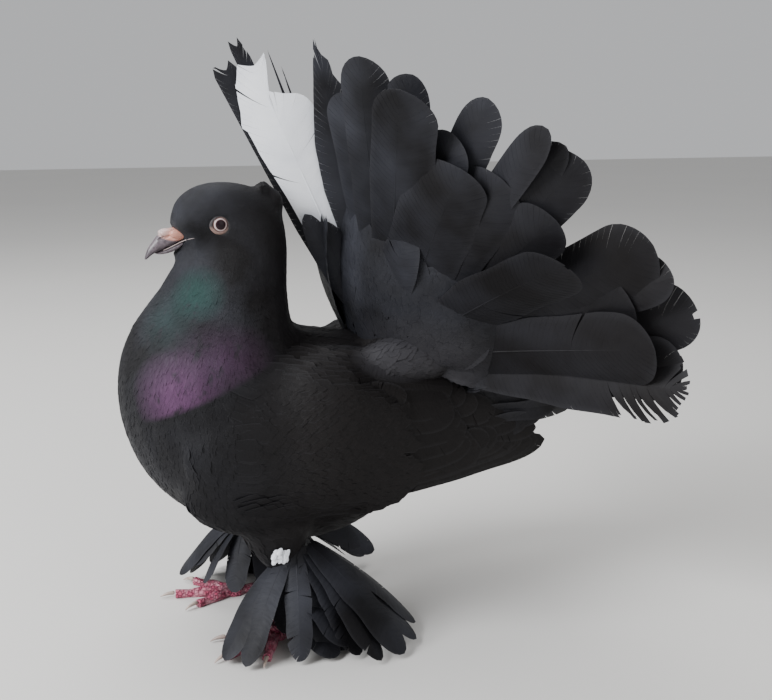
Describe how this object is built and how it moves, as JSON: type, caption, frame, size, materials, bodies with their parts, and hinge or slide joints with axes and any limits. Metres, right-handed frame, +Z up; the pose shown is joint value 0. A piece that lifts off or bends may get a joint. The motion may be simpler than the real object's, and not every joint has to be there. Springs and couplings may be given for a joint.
{
  "type": "indian fantail pigeon",
  "caption": "Life-size standing fantail pigeon with a raised fan tail, small nape crest and feathered feet; a still display model.",
  "frame": {"origin": "middle of the overall box, on the floor the bird stands on", "axes": "+Z up; the bird looks along -X; its left side faces -Y"},
  "size_m": [0.2508, 0.2732, 0.2977],
  "materials": {
    "plumage": "black feathers, matt to soft sheen, with green and purple gloss on the neck and breast and one white tail feather",
    "toe_skin": "pink-red scaled skin",
    "claw_horn": "pale grey-brown horn",
    "bill_horn": "dark purple-grey horn with a salmon-pink cere",
    "eye": "wet dark eye with a thin pearl-white ring"
  },
  "bodies": {
    "root": {"torso": "plumage", "neck": "plumage", "head": "plumage", "wing_left": "plumage", "wing_right": "plumage", "tail_left": "plumage", "tail_right": "plumage", "tail_coverts_left": "plumage", "tail_coverts_right": "plumage", "undertail": "plumage", "thigh_left": "plumage", "thigh_right": "plumage", "shank_left": "plumage", "shank_right": "plumage", "foot_left": "toe_skin", "foot_right": "toe_skin", "claw_left_1": "claw_horn", "claw_left_2": "claw_horn", "claw_left_3": "claw_horn", "claw_left_4": "claw_horn", "claw_right_1": "claw_horn", "claw_right_2": "claw_horn", "claw_right_3": "claw_horn", "claw_right_4": "claw_horn", "bill_upper": "bill_horn", "bill_lower": "bill_horn", "eye_left": "eye", "eye_right": "eye"}
  },
  "joints": []
}
